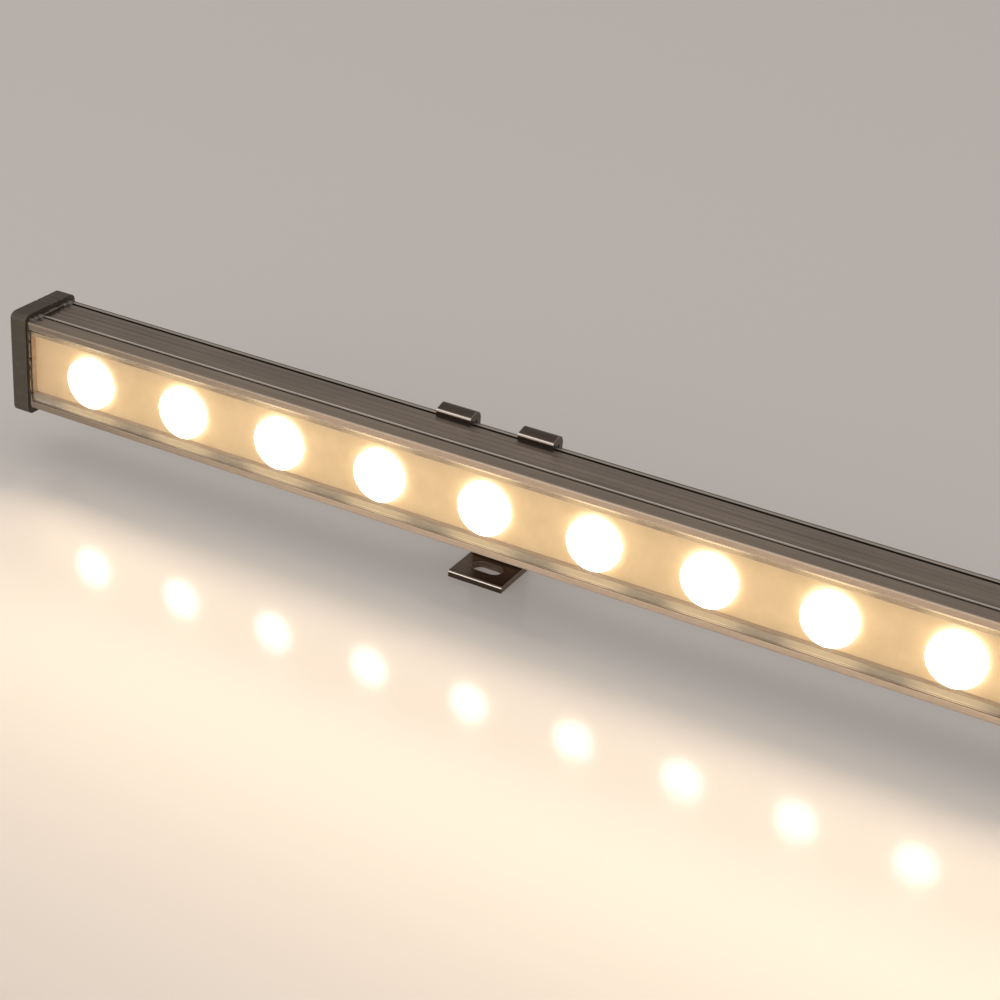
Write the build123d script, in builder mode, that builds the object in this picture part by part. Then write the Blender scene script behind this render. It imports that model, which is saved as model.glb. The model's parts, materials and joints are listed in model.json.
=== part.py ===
"""Linear floodlight: a row of lenses in a grooved extrusion, on two clip brackets with tilting feet.

Millimetres. The origin lies between the two foot slots on the mounting plane, X runs along the bar
towards the cable end, Y runs to the back and Z up. The light faces -Y.
"""

import os

from build123d import *

# Whole light
overall_length = 500.0
lamp_height = 25.5
lens_line_y = -14.9
emitter_count = 18
emitter_pitch = 26.8
emitter_rise = -0.5

# Housing section: depths run back from the lens line, heights run from the middle of the housing
front_face = -1.0
back_face = 16.05
half_height = 11.2
edge_round = 0.35
rebate_half = 9.5
window_half = 7.5
cavity_half = 9.4
ledge_face = 0.6
ledge_back = 1.85
base_face = 9.4
groove_depth = 0.8
front_groove = (3.2, 4.1)
rear_groove = (13.65, 14.55)
valley_count = 4
valley_width = 1.0
valley_depth = 0.06
port_depth = 12.2
port_rise = 6.0
port_radius = 1.25

# Clear front and what lies behind it
cover_front = -0.9
cover_back = 0.3
cover_half = 9.4
cover_bevel = 0.35
tray_front = 1.9
tray_back = 2.9
tray_half = 9.2
tray_hole_radius = 6.0
lens_radius = 6.3
lens_face_sides = 24
lens_front = 0.35
lens_rim_back = 1.9
lens_cone_radius = 5.9
lens_cone_sides = 12
lens_cone_cut = 3.2
lens_back = 6.95

# Circuit board
pad_thickness = 0.25
board_thickness = 1.2
board_half = 7.6
board_length = 484.0
emitter_width = 3.5
emitter_height = 0.8

# End caps
cap_thickness = 4.6
cap_front = -1.65
cap_back = 17.0
cap_top = 12.8
cap_bottom = -13.15
cap_corner = 1.8
cap_edge = 0.3
cap_grooves = (8.2, 9.9, 12.2)
cap_groove_width = 0.6
gasket_thickness = 0.6
plug_length = 2.0
bead_width = 0.5
bead_length = 0.8

# Cable gland
gland_depth = 5.6
gland_stub_radius = 3.95
gland_thread_radius = 3.6
gland_bore_radius = 2.7
gland_flats = 10.0
gland_flange = 2.5
gland_nut_length = 7.5
gland_nut_cut = 1.4
cable_radius = 2.2

# Brackets
bracket_offset = 126.0
clip_length = 29.5
clip_opening = 14.2
hook_gap = 11.9
clip_clearance = 0.15
clip_wall = 1.65
hook_front = 13.0
hook_brow = 12.85
hook_crest = (15.7, 13.7)
hook_hollow = 11.9
hook_notch = 9.5
hinge_depth = 21.3
hinge_height = -8.0
knuckle_radius = 3.2
hinge_bore_radius = 1.55
hinge_screw_radius = 1.5
foot_width = 13.8
foot_plate = 1.6
foot_wall = 2.5
toe_front_y = -6.0
toe_round = 0.6
slot_length = 7.6
slot_width = 4.3

# Worked out from the above
housing_length = overall_length - 2 * (cap_thickness + gasket_thickness)
pad_front = base_face - pad_thickness
board_front = pad_front - board_thickness
first_emitter = -emitter_pitch * (emitter_count - 1) / 2
emitter_places = [(first_emitter + emitter_pitch * index, emitter_rise) for index in range(emitter_count)]
clip_inner = back_face + 0.2
clip_back = clip_inner + clip_wall
hinge_y = lens_line_y + hinge_depth
hinge_z = lamp_height + hinge_height


def section_at(x):
    """Plane across the bar: local x runs back from the lens line, local y up from its middle."""
    return Plane(origin=(x, lens_line_y, lamp_height), x_dir=(0, 1, 0), z_dir=(1, 0, 0))


def facing_front(depth):
    """Plane along the bar at a depth, seen from the front: local x runs with X, local y up."""
    return Plane(origin=(0, lens_line_y + depth, lamp_height), x_dir=(1, 0, 0), z_dir=(0, -1, 0))


def band(front, back, low, high, mode=Mode.ADD):
    """Rectangle between two depths and two heights in the section sketch that is open."""
    with Locations(((front + back) / 2, (low + high) / 2)):
        Rectangle(back - front, high - low, mode=mode)


def write_piece(piece, name):
    """Label a finished piece and write its STEP file."""
    piece.label = name
    export_step(piece, f"parts/{name}.step")


os.makedirs("parts", exist_ok=True)

# Housing: the grooved extrusion, open at the front
with BuildPart() as housing:
    with BuildSketch(section_at(0)) as housing_section:
        band(front_face, back_face, -half_height, half_height)
        fillet(housing_section.vertices(), edge_round)
        band(front_face, ledge_face, -rebate_half, rebate_half, Mode.SUBTRACT)
        band(ledge_face, ledge_back, -window_half, window_half, Mode.SUBTRACT)
        band(ledge_back, base_face, -cavity_half, cavity_half, Mode.SUBTRACT)
        for groove in (front_groove, rear_groove):
            band(*groove, half_height - groove_depth, half_height, Mode.SUBTRACT)
            band(*groove, -half_height, groove_depth - half_height, Mode.SUBTRACT)
        rib_pitch = (rear_groove[0] - front_groove[1]) / (valley_count + 1)
        rib_centre = (rear_groove[0] + front_groove[1]) / 2
        with Locations((rib_centre, 0)):
            with GridLocations(rib_pitch, 2 * half_height, valley_count, 2):
                Polygon(
                    (-valley_width / 2, 0),
                    (0, valley_depth),
                    (valley_width / 2, 0),
                    (0, -valley_depth),
                    mode=Mode.SUBTRACT,
                )
        with Locations((port_depth, port_rise), (port_depth, -port_rise)):
            Circle(port_radius, mode=Mode.SUBTRACT)
    extrude(amount=housing_length / 2, both=True)
write_piece(housing.part, "housing")

# Clear cover in the rebate, bevelled along its front edges, on a seal along each ledge
with BuildPart() as front_cover:
    with BuildSketch(section_at(0)):
        band(cover_front, cover_back, -cover_half, cover_half)
    extrude(amount=housing_length / 2, both=True)
    chamfer(front_cover.faces().sort_by(Axis.Y)[0].edges().filter_by(Axis.X), cover_bevel)
write_piece(front_cover.part, "front_cover")

for name, side in (("upper", 1), ("lower", -1)):
    with BuildPart() as cover_seal:
        with BuildSketch(section_at(0)):
            with Locations(((cover_back + ledge_face) / 2, side * (rebate_half + window_half) / 2)):
                Rectangle(ledge_face - cover_back, 1.6)
        extrude(amount=housing_length / 2, both=True)
    write_piece(cover_seal.part, f"{name}_cover_seal")

# Tray with a twelve-sided seat for each lens
with BuildPart() as lens_tray:
    with BuildSketch(section_at(0)):
        band(tray_front, tray_back, -tray_half, tray_half)
    extrude(amount=housing_length / 2, both=True)
    with BuildSketch(facing_front(tray_front)):
        with Locations(emitter_places):
            RegularPolygon(tray_hole_radius, lens_cone_sides)
    extrude(amount=tray_front - tray_back, mode=Mode.SUBTRACT)
write_piece(lens_tray.part, "lens_tray")

# Lenses: a round face of many flats in front of the tray and a body that narrows towards the emitter
for number, place in enumerate(emitter_places, start=1):
    with BuildPart() as lens:
        with BuildSketch(facing_front(lens_rim_back)):
            with Locations(place):
                RegularPolygon(lens_radius, lens_face_sides)
        extrude(amount=lens_rim_back - lens_front)
        with BuildSketch(facing_front(lens_rim_back)):
            with Locations(place):
                RegularPolygon(lens_cone_radius, lens_cone_sides)
        extrude(amount=lens_rim_back - lens_back)
        chamfer(lens.faces().sort_by(Axis.Y)[-1].edges(), lens_cone_cut)
    write_piece(lens.part, f"lens_{number:02d}")

# Circuit board, held to the housing by its adhesive thermal pad
with BuildPart() as thermal_pad:
    with BuildSketch(facing_front(base_face)):
        Rectangle(board_length, 2 * board_half)
    extrude(amount=pad_thickness)
write_piece(thermal_pad.part, "thermal_pad")

with BuildPart() as circuit_board:
    with BuildSketch(facing_front(pad_front)):
        Rectangle(board_length, 2 * board_half)
    extrude(amount=board_thickness)
write_piece(circuit_board.part, "circuit_board")

with BuildPart() as led_emitters:
    with BuildSketch(facing_front(board_front)):
        with Locations(emitter_places):
            Rectangle(emitter_width, emitter_width)
    extrude(amount=emitter_height)
write_piece(led_emitters.part, "led_emitters")

with BuildPart() as board_components:
    with BuildSketch(facing_front(board_front)):
        with Locations([(step * emitter_pitch, 4.4) for step in range(-8, 9)]):
            Rectangle(2.0, 1.25)
    extrude(amount=0.6)
    with BuildSketch(facing_front(board_front)):
        with Locations([(step * emitter_pitch, -4.4) for step in (-6, 0, 6)]):
            Rectangle(4.9, 3.9)
    extrude(amount=1.5)
write_piece(board_components.part, "board_components")

with BuildPart() as wire_terminal:
    with BuildSketch(facing_front(board_front)):
        with Locations((board_length / 2 - 4.0, 0)):
            Rectangle(6.0, 6.0)
    extrude(amount=3.2)
    with BuildSketch(section_at(board_length / 2 - 1.0)):
        with Locations((board_front - 1.6, 1.4), (board_front - 1.6, -1.4)):
            Rectangle(1.6, 1.8)
    extrude(amount=-4.0, mode=Mode.SUBTRACT)
write_piece(wire_terminal.part, "wire_terminal")

# Ends: cap with its plug, gasket, sealant bead and screws
for name, side in (("left", -1), ("right", 1)):
    cap_inner_x = side * (overall_length / 2 - cap_thickness)
    cap_outer_x = side * overall_length / 2
    port_spots = [(port_depth, port_rise), (port_depth, -port_rise)]

    with BuildPart() as end_cap:
        with BuildSketch(section_at(cap_inner_x)) as cap_section:
            band(cap_front, cap_back, cap_bottom, cap_top)
            fillet(cap_section.vertices(), cap_corner)
        extrude(amount=side * cap_thickness)
        chamfer(end_cap.faces().sort_by(Axis.X)[0 if side < 0 else -1].edges(), cap_edge)
        with BuildSketch(section_at(cap_inner_x)):
            with Locations([(depth, rise) for depth in cap_grooves for rise in (cap_top, cap_bottom)]):
                Rectangle(cap_groove_width, cap_groove_width, rotation=45)
        extrude(amount=side * cap_thickness, mode=Mode.SUBTRACT)
        with BuildSketch(section_at(cap_inner_x)):
            band(tray_back + 0.3, base_face - 0.2, 0.2 - cavity_half, cavity_half - 0.2)
        extrude(amount=-side * (gasket_thickness + plug_length))
        with BuildSketch(section_at(cap_outer_x)):
            with Locations(port_spots):
                Circle(1.6)
            if name == "right":
                with Locations((gland_depth, 0)):
                    Circle(gland_stub_radius + 0.05)
        extrude(amount=-side * 10.0, mode=Mode.SUBTRACT)
    write_piece(end_cap.part, f"{name}_end_cap")

    with BuildPart() as cap_gasket:
        with BuildSketch(section_at(cap_inner_x)):
            band(front_face + 0.1, port_depth - 1.8, 0.1 - half_height, half_height - 0.1)
            band(tray_back + 0.1, base_face, -cavity_half, cavity_half, Mode.SUBTRACT)
        extrude(amount=-side * gasket_thickness)
    write_piece(cap_gasket.part, f"{name}_cap_gasket")

    with BuildPart() as cap_sealant:
        with BuildSketch(section_at(cap_inner_x)):
            with Locations(((front_face + back_face) / 2, 0)):
                Rectangle(back_face - front_face + 2 * bead_width, 2 * (half_height + bead_width))
                Rectangle(back_face - front_face + 0.04, 2 * half_height + 0.04, mode=Mode.SUBTRACT)
        extrude(amount=-side * bead_length)
        outer_loop = cap_sealant.faces().sort_by(Axis.X)[-1 if side < 0 else 0].outer_wire()
        chamfer(outer_loop.edges(), 0.3)
    write_piece(cap_sealant.part, f"{name}_cap_sealant")

    with BuildPart() as cap_screws:
        with BuildSketch(section_at(cap_outer_x)):
            with Locations(port_spots):
                Circle(2.5)
        extrude(amount=side * 1.5)
        with BuildSketch(section_at(cap_outer_x)):
            with Locations(port_spots):
                Circle(port_radius - 0.05)
        extrude(amount=-side * 14.0)
    write_piece(cap_screws.part, f"{name}_cap_screws")

# Cable gland in the right cap
gland_x = overall_length / 2
with BuildPart() as gland_body:
    with BuildSketch(section_at(gland_x - cap_thickness)):
        with Locations((gland_depth, 0)):
            Circle(gland_stub_radius)
    extrude(amount=cap_thickness)
    with BuildSketch(section_at(gland_x)):
        with Locations((gland_depth, 0)):
            RegularPolygon(gland_flats / 2, 6, major_radius=False)
    extrude(amount=gland_flange)
    with BuildSketch(section_at(gland_x + gland_flange)):
        with Locations((gland_depth, 0)):
            Circle(gland_thread_radius)
    extrude(amount=gland_nut_length - 2.6)
    with BuildSketch(section_at(gland_x - cap_thickness)):
        with Locations((gland_depth, 0)):
            Circle(gland_bore_radius)
    extrude(amount=cap_thickness + gland_flange + gland_nut_length, mode=Mode.SUBTRACT)
write_piece(gland_body.part, "gland_body")

with BuildPart() as gland_seal:
    with BuildSketch(section_at(gland_x + gland_flange)):
        with Locations((gland_depth, 0)):
            Circle(gland_bore_radius - 0.05)
            Circle(cable_radius, mode=Mode.SUBTRACT)
    extrude(amount=gland_nut_length - 2.2)
write_piece(gland_seal.part, "gland_seal")

with BuildPart() as gland_nut:
    with BuildSketch(section_at(gland_x + gland_flange + 0.2)):
        with Locations((gland_depth, 0)):
            RegularPolygon(gland_flats / 2, 6, major_radius=False)
    extrude(amount=gland_nut_length)
    chamfer(gland_nut.faces().sort_by(Axis.X)[-1].edges(), gland_nut_cut)
    with BuildSketch(section_at(gland_x + gland_flange)):
        with Locations((gland_depth, 0)):
            Circle(gland_thread_radius + 0.05)
    extrude(amount=gland_nut_length - 1.6, mode=Mode.SUBTRACT)
    with BuildSketch(section_at(gland_x + gland_flange)):
        with Locations((gland_depth, 0)):
            Circle(gland_bore_radius)
    extrude(amount=gland_nut_length + 2.0, mode=Mode.SUBTRACT)
write_piece(gland_nut.part, "gland_nut")

# Brackets: a clip hooked over the rear lips and a foot that tilts on the hinge screw
for name, side in (("left", -1), ("right", 1)):
    bracket_x = side * bracket_offset
    finger_back = rear_groove[1] - clip_clearance
    finger_front = rear_groove[0] + 0.1
    finger_tip = half_height - groove_depth + clip_clearance
    clip_floor = half_height + clip_clearance

    with BuildPart() as clip:
        with BuildSketch(section_at(bracket_x)):
            with BuildLine():
                Polyline(
                    (clip_back, 0),
                    (clip_inner, 0),
                    (clip_inner, hook_hollow),
                    (clip_inner - 0.7, hook_hollow),
                    (clip_inner - 0.7, clip_floor),
                    (finger_back + 0.45, clip_floor),
                    (finger_back + 0.45, hook_hollow),
                    (finger_back, hook_hollow),
                    (finger_back, finger_tip),
                    (finger_front, finger_tip),
                    (finger_front, clip_floor),
                    (hook_front, clip_floor),
                    (hook_front, hook_brow),
                    (hook_front + 0.4, hook_brow + 0.3),
                    hook_crest,
                )
                ThreePointArc(hook_crest, (clip_back - 0.6, hook_crest[1] - 0.7), (clip_back, 11.6))
                Line((clip_back, 11.6), (clip_back, 0))
            make_face()
            mirror(about=Plane.XZ)
        extrude(amount=clip_length / 2, both=True)
        with BuildSketch(section_at(bracket_x)):
            band(clip_back - 0.5, hinge_depth, hinge_height - knuckle_radius, hinge_height + knuckle_radius)
            with Locations((hinge_depth, hinge_height)):
                Circle(knuckle_radius)
        extrude(amount=clip_length / 2, both=True)
        with BuildSketch(section_at(bracket_x)):
            band(clip_back, hinge_depth + 5, hinge_height - 5, hinge_height + 5)
            band(hook_front - 1, clip_back + 1, -hook_crest[1] - 1, -hook_notch)
        extrude(amount=clip_opening / 2, both=True, mode=Mode.SUBTRACT)
        with BuildSketch(section_at(bracket_x)):
            band(hook_front - 1, clip_back + 1, hook_notch, hook_crest[1] + 1)
        extrude(amount=hook_gap / 2, both=True, mode=Mode.SUBTRACT)
        with BuildSketch(section_at(bracket_x)):
            with Locations((hinge_depth, hinge_height)):
                Circle(hinge_bore_radius)
        extrude(amount=clip_length / 2, both=True, mode=Mode.SUBTRACT)
    write_piece(clip.part, f"{name}_clip")

    with BuildPart() as foot:
        with BuildSketch(Plane.YZ.offset(bracket_x)) as foot_section:
            band(toe_front_y, hinge_y + foot_wall / 2, 0, foot_plate)
            band(hinge_y - foot_wall / 2, hinge_y + foot_wall / 2, 0, hinge_z)
            inner_corner = foot_section.vertices().sort_by_distance((0, hinge_y - foot_wall / 2, foot_plate))[0]
            fillet(inner_corner, 1.0)
            with Locations((hinge_y, hinge_z)):
                Circle(knuckle_radius)
                Circle(hinge_bore_radius, mode=Mode.SUBTRACT)
        extrude(amount=foot_width / 2, both=True)
        toe_brow = foot.faces().sort_by(Axis.Y)[0].edges().filter_by(Axis.X).sort_by(Axis.Z)[-1]
        fillet(toe_brow, toe_round)
        with BuildSketch(Plane.XY):
            with Locations((bracket_x, 0)):
                SlotOverall(slot_length, slot_width)
        extrude(amount=foot_plate, mode=Mode.SUBTRACT)
    write_piece(foot.part, f"{name}_foot")

    ear_outer = clip_length / 2
    with BuildPart() as hinge_screw:
        with BuildSketch(section_at(bracket_x - ear_outer)):
            with Locations((hinge_depth, hinge_height)):
                Circle(2.75)
        extrude(amount=-3.0)
        with BuildSketch(section_at(bracket_x - ear_outer)):
            with Locations((hinge_depth, hinge_height)):
                Circle(hinge_screw_radius)
        extrude(amount=clip_length + 3.2)
        with BuildSketch(section_at(bracket_x - ear_outer - 3.0)):
            with Locations((hinge_depth, hinge_height)):
                RegularPolygon(1.25, 6, major_radius=False)
        extrude(amount=1.6, mode=Mode.SUBTRACT)
    write_piece(hinge_screw.part, f"{name}_hinge_screw")

    with BuildPart() as hinge_nut:
        with BuildSketch(section_at(bracket_x + ear_outer)):
            with Locations((hinge_depth, hinge_height)):
                RegularPolygon(2.75, 6, major_radius=False)
                Circle(hinge_screw_radius + 0.03, mode=Mode.SUBTRACT)
        extrude(amount=2.4)
    write_piece(hinge_nut.part, f"{name}_hinge_nut")
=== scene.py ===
"""Looks of a linear floodlight: anodised bar, lit lenses behind a clear front, two clip brackets."""
import json
import math
import random

import bmesh
import bpy
from mathutils import Matrix, Vector, noise


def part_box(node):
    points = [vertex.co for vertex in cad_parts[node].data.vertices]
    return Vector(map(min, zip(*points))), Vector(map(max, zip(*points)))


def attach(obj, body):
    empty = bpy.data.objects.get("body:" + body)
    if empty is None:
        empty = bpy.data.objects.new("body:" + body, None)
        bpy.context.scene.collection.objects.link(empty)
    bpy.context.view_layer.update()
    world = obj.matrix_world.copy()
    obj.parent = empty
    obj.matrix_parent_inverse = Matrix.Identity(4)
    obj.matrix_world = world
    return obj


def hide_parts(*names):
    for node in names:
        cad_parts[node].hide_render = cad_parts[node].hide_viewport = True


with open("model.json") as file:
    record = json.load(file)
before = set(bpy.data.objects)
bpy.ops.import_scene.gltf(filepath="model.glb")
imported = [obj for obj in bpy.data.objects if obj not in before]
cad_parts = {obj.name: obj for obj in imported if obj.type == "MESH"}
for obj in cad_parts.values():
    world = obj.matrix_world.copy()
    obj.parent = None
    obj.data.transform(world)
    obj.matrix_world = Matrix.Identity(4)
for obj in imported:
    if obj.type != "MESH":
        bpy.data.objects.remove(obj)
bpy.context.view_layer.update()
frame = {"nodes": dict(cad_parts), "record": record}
nodes = frame["nodes"]
MM = 0.001

# Camera, from the row of lenses in the photograph
CAMERA_PLACE = (0.0668, -0.3792, 0.2436)
CAMERA_YAW = -0.4664
CAMERA_PITCH = 0.4850
CAMERA_ROLL = 0.0758
CAMERA_LENS = 76.85

# Housing section: grooves as depths behind its front, window as a height from the lens axis
LEDGE_BACK = 2.85 * MM
GROOVE_BACK = 5.1 * MM
REAR_GROOVE = 14.65 * MM
GROOVE_WIDTH = 0.9 * MM
WINDOW_HALF = 7.5 * MM

# Clear front: height of the bevels along it, and how softly they end
COVER_BEVEL = 0.34 * MM
BEVEL_EASE = 0.08 * MM

# Brackets: how far the hooks' front edge lies below their crest, and the thickness of the toe
HOOK_FALL = 0.85 * MM
FOOT_PLATE = 1.6 * MM

# Light round a lens: the distances from its axis between which each finish changes
LENS_CORE = (3.6 * MM, 5.8 * MM)
LENS_RIM = (5.6 * MM, 6.5 * MM)
TRAY_GLOW = (6.2 * MM, 8.0 * MM)
SEAL_GLOW = (8.8 * MM, 13.5 * MM)
COVER_GLOW = (9.2 * MM, 14.0 * MM)

# Ends of the bar: length over which its edges grow dim, and the tray past the last lens
END_FADE = 85 * MM
TRAY_END = (4 * MM, 17 * MM)

# Cover seals: rounding of their edges, and how far these waver
SEAL_ROUND = 0.06 * MM
SEAL_WAVER = 0.02 * MM

# Sealant round a cap: how far its line lies inside its box, its radius and the step between its points
BEAD_INSET = 0.5 * MM
BEAD_RADIUS = 0.34 * MM
BEAD_STEP = 1.3 * MM

# Hinge screw: knurled head, six-sided socket, plain shank and thread
HEAD_LENGTH = 3.0 * MM
KNURL_POINTS = 48
KNURL_FLOOR = 0.965
SOCKET_HALF = 1.25 * MM
SOCKET_DEPTH = 1.6 * MM
SHANK_RADIUS = 1.5 * MM
THREAD_PITCH = 0.48 * MM
THREAD_TURNS = 18
THREAD_LENGTH = 9 * MM
THREAD_CORE = 0.86

# Cap screw: pan head on a plain shank, and the arms of its cross recess, centred at a height over the seat
PAN_RADIUS = 2.5 * MM
PAN_HEIGHT = 1.5 * MM
PAN_RIM = 0.35 * MM
PAN_SEAT = 0.98
CAP_SCREW_SHANK = 1.2 * MM
CAP_SCREW_LENGTH = 13.9 * MM
RECESS_HEIGHT = 1.4 * MM
RECESS_SIZE = (1.6 * MM, 2.5 * MM, 0.55 * MM, 1)

# Stage: table, backdrop, and the light that the bar throws, as lamps with a power and a spread in degrees
TABLE_COLOUR = (0.475, 0.443, 0.42, 1)
TABLE_LIFT = (0.158, 0.146, 0.136)
BACKDROP = (0.33, 0.319, 0.306, 1)
BEAM_COLOUR = (1.0, 0.80, 0.55)
BEAM_SIZE = (0.47, 0.012)
BEAM_GAP = 1.0 * MM
BEAM_LAMPS = (("beam", 0.37, 60), ("spill", 0.33, 135))


def middle(node):
    """Centre of a node's box."""
    low, high = (Vector(corner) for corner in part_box(node))
    return (low + high) / 2


# The row of lenses, read from the frame
LENS_COUNT = sum(name.startswith("lens_") and name != "lens_tray" for name in nodes)
FIRST_LENS = middle("lens_01")
LAST_LENS = middle(f"lens_{LENS_COUNT:02d}")
LENS_PITCH = (LAST_LENS.x - FIRST_LENS.x) / (LENS_COUNT - 1)


class Graph:
    """Short words for building a shader tree."""

    def __init__(self, tree):
        self.tree = tree

    def node(self, kind, inputs=None, **settings):
        """New node with its settings made and its inputs fed."""
        made = self.tree.nodes.new(kind)
        for key, value in settings.items():
            setattr(made, key, value)
        for key, value in (inputs or {}).items():
            self.feed(value, made.inputs[key])
        return made

    def feed(self, value, socket):
        """Link an output to a socket, or set a constant on it."""
        if isinstance(value, bpy.types.NodeSocket):
            self.tree.links.new(value, socket)
        else:
            socket.default_value = value

    def maths(self, operation, first, second=0.0, clamp=False):
        made = self.node("ShaderNodeMath", {0: first, 1: second}, operation=operation, use_clamp=clamp)
        return made.outputs[0]

    def times(self, first, second, clamp=False):
        return self.maths("MULTIPLY", first, second, clamp)

    def plus(self, first, second, clamp=False):
        return self.maths("ADD", first, second, clamp)

    def less(self, first, second):
        return self.maths("SUBTRACT", first, second)

    def larger(self, first, second):
        return self.maths("MAXIMUM", first, second)

    def unsigned(self, value):
        return self.maths("ABSOLUTE", value)

    def span(self, value, low, high, start=0.0, end=1.0, smooth=False):
        """Value carried from the range low to high onto start to end, and held past these."""
        inputs = {0: value, 1: low, 2: high, 3: start, 4: end}
        kind = "SMOOTHSTEP" if smooth else "LINEAR"
        return self.node("ShaderNodeMapRange", inputs, interpolation_type=kind).outputs[0]

    def between(self, value, low, high, ease):
        """One between two values, easing to zero outside them."""
        begun = self.span(value, low - ease, low)
        ended = self.span(value, high, high + ease, 1.0, 0.0)
        return self.times(begun, ended)

    def mix(self, factor, first, second):
        """Colour that goes from the first to the second with the factor."""
        made = self.node("ShaderNodeMix", data_type="RGBA", blend_type="MIX")
        for socket, value in zip((made.inputs[0], made.inputs[6], made.inputs[7]), (factor, first, second)):
            self.feed((*value, 1) if isinstance(value, tuple) else value, socket)
        return made.outputs[2]

    def noise(self, vector, scale, detail=3.0, rough=0.5):
        inputs = {"Vector": vector, "Scale": scale, "Detail": detail, "Roughness": rough}
        return self.node("ShaderNodeTexNoise", inputs).outputs[0]

    def cells(self, vector, scale):
        return self.node("ShaderNodeTexVoronoi", {"Vector": vector, "Scale": scale}).outputs[0]

    def place(self):
        """Object coordinates, in metres."""
        return self.node("ShaderNodeTexCoord").outputs["Object"]

    def split(self, vector):
        """X, Y and Z of a vector."""
        return self.node("ShaderNodeSeparateXYZ", {0: vector}).outputs

    def stretch(self, vector, along, across, up):
        made = self.node("ShaderNodeVectorMath", {0: vector, 1: (along, across, up)}, operation="MULTIPLY")
        return made.outputs[0]

    def rays(self):
        """What kind of ray sees the surface."""
        return self.node("ShaderNodeLightPath").outputs

    def group(self, tree, **inputs):
        """Outputs of a node group that is given its inputs by their names."""
        made = self.node("ShaderNodeGroup", node_tree=tree)
        for key, value in inputs.items():
            self.feed(value, made.inputs[key.replace("_", " ").title()])
        return made.outputs

    def bump(self, height, strength, distance):
        inputs = {"Height": height, "Strength": strength, "Distance": distance}
        return self.node("ShaderNodeBump", inputs).outputs[0]


def new_group(name, inputs, outputs):
    """Empty node group with float or vector inputs and float outputs."""
    tree = bpy.data.node_groups.new(name, "ShaderNodeTree")
    for label, value in inputs.items():
        kind = "NodeSocketVector" if value is None else "NodeSocketFloat"
        socket = tree.interface.new_socket(label, in_out="INPUT", socket_type=kind)
        if value is not None:
            socket.default_value = value
    for label in outputs:
        tree.interface.new_socket(label, in_out="OUTPUT", socket_type="NodeSocketFloat")
    graph = Graph(tree)
    return tree, graph, graph.node("NodeGroupInput").outputs, graph.node("NodeGroupOutput").inputs


def make_drawn_grain():
    """Fine lengthwise lines that an extrusion die leaves, and broad smudges over them."""
    tree, graph, given, out = new_group("drawn_grain", {"Place": None, "Lines": 1400.0}, ("Grain", "Smudge"))
    lines = graph.noise(graph.stretch(given["Place"], 0.012, 1.0, 1.0), given["Lines"], 2.0, 0.6)
    graph.feed(graph.span(lines, 0.3, 0.7), out["Grain"])
    smudge = graph.noise(graph.stretch(given["Place"], 0.45, 1.0, 1.0), 60.0, 4.0, 0.55)
    graph.feed(graph.span(smudge, 0.35, 0.68), out["Smudge"])
    return tree


def make_rubbed_and_highlit_edges():
    """Bright along outer edges, from rubbing and as a painted highlight, broken up a little so that it looks
    handled.
    """
    tree, graph, given, out = new_group("edges_rubbed_and_highlit", {"Place": None, "Radius": 0.0003}, ("Edge",))
    rounded = graph.node("ShaderNodeBevel", {"Radius": given["Radius"]}, samples=6).outputs[0]
    facing = graph.node("ShaderNodeNewGeometry").outputs["True Normal"]
    turned = graph.node("ShaderNodeVectorMath", {0: rounded, 1: facing}, operation="DOT_PRODUCT")
    edge = graph.span(turned.outputs["Value"], 0.995, 0.86)
    broken = graph.span(graph.noise(given["Place"], 900.0, 3.0, 0.6), 0.3, 0.6, 0.55, 1.0)
    graph.feed(graph.times(edge, broken, clamp=True), out["Edge"])
    return tree


def make_mould_grain():
    """Fine spark-eroded grain of moulded plastic with a few paler scuffs."""
    tree, graph, given, out = new_group("mould_grain", {"Place": None, "Size": 2600.0}, ("Height", "Scuff"))
    fine = graph.noise(given["Place"], given["Size"], 2.0, 0.6)
    cells = graph.cells(given["Place"], given["Size"])
    graph.feed(graph.plus(graph.times(cells, 0.5), fine), out["Height"])
    scuff = graph.noise(graph.stretch(given["Place"], 1.0, 1.0, 3.0), 210.0, 5.0, 0.65)
    graph.feed(graph.span(scuff, 0.54, 0.74), out["Scuff"])
    return tree


def make_lens_ring():
    """Distance from the nearest lens axis, in metres, and how far past the last lens a place lies."""
    tree, graph, given, out = new_group("lens_ring", {"Place": None}, ("Distance", "End"))
    x, _, z = graph.split(given["Place"])
    held = graph.maths("MINIMUM", graph.larger(x, FIRST_LENS.x), LAST_LENS.x)
    past = graph.unsigned(graph.less(x, held))
    inside = graph.maths("PINGPONG", graph.less(held, FIRST_LENS.x), LENS_PITCH / 2)
    across = graph.plus(inside, past)
    rise = graph.less(z, FIRST_LENS.z)
    square = graph.plus(graph.times(across, across), graph.times(rise, rise))
    graph.feed(graph.maths("SQRT", square), out["Distance"])
    graph.feed(graph.span(past, *TRAY_END, smooth=True), out["End"])
    return tree


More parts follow.
